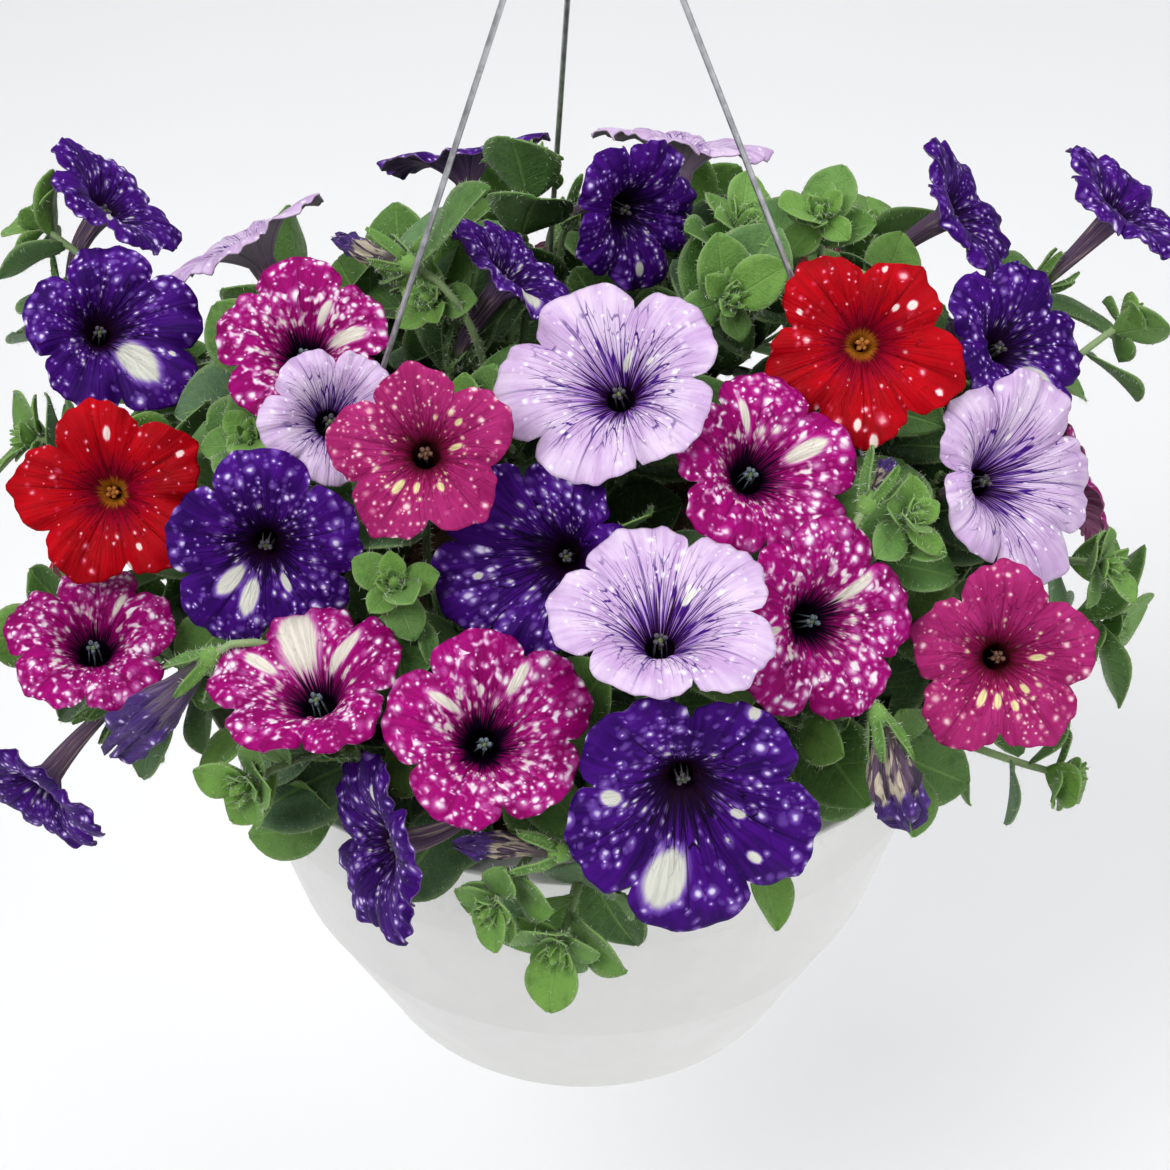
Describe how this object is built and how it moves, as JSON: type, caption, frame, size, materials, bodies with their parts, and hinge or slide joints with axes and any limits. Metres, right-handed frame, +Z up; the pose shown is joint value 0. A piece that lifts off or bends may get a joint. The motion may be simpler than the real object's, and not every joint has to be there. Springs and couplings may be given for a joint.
{
  "type": "petunia hanging basket",
  "caption": "Round hanging basket filled with speckled petunias: a mound of leafy stems and trumpet blooms over a plain pot on wires and a hook.",
  "frame": {"origin": "inside of the top of the hook's crook, where the basket hangs", "axes": "+Z up through the hook and the middle of the pot, -Y towards the front of the plant"},
  "size_m": [0.3818, 0.3435, 0.5051],
  "materials": {
    "petal_purple": "matte",
    "petal_magenta": "matte",
    "petal_rose": "matte",
    "petal_red": "matte",
    "petal_lavender": "matte",
    "petal_wilted": "matte",
    "leaf_green": "matte",
    "pot_white": "satin",
    "compost": "matte",
    "hanger_steel": "satin"
  },
  "bodies": {
    "root": {"basket": "pot_white", "bloom_lavender_01": "petal_lavender", "bloom_lavender_02": "petal_lavender", "bloom_lavender_03": "petal_lavender", "bloom_lavender_04": "petal_lavender", "bloom_lavender_05": "petal_lavender", "bloom_lavender_06": "petal_lavender", "bloom_magenta_01": "petal_magenta", "bloom_magenta_02": "petal_magenta", "bloom_magenta_03": "petal_magenta", "bloom_magenta_04": "petal_magenta", "bloom_magenta_05": "petal_magenta", "bloom_magenta_06": "petal_magenta", "bloom_magenta_07": "petal_magenta", "bloom_magenta_08": "petal_magenta", "bloom_purple_01": "petal_purple", "bloom_purple_02": "petal_purple", "bloom_purple_03": "petal_purple", "bloom_purple_04": "petal_purple", "bloom_purple_05": "petal_purple", "bloom_purple_06": "petal_purple", "bloom_purple_07": "petal_purple", "bloom_purple_08": "petal_purple", "bloom_purple_09": "petal_purple", "bloom_purple_10": "petal_purple", "bloom_purple_11": "petal_purple", "bloom_purple_12": "petal_purple", "bloom_purple_13": "petal_purple", "bloom_purple_14": "petal_purple", "bloom_red_01": "petal_red", "bloom_red_02": "petal_red", "bloom_red_03": "petal_red", "bloom_red_04": "petal_red", "bloom_rose_01": "petal_rose", "bloom_rose_02": "petal_rose", "bloom_rose_03": "petal_rose", "furled_bloom_1": "petal_wilted", "furled_bloom_2": "petal_purple", "furled_bloom_3": "petal_wilted", "furled_bloom_4": "petal_wilted", "furled_bloom_5": "petal_wilted", "hanger_hook": "hanger_steel", "hanger_wire_1": "hanger_steel", "hanger_wire_2": "hanger_steel", "hanger_wire_3": "hanger_steel", "leafy_stems_back_left": "leaf_green", "leafy_stems_back_right": "leaf_green", "leafy_stems_crown_back_left": "leaf_green", "leafy_stems_crown_back_right": "leaf_green", "leafy_stems_crown_front": "leaf_green", "leafy_stems_front": "leaf_green", "leafy_stems_front_left": "leaf_green", "leafy_stems_front_right": "leaf_green", "leafy_stems_left_back": "leaf_green", "leafy_stems_left_front": "leaf_green", "leafy_stems_right_back": "leaf_green", "leafy_stems_right_front": "leaf_green", "soil": "compost"}
  },
  "joints": []
}
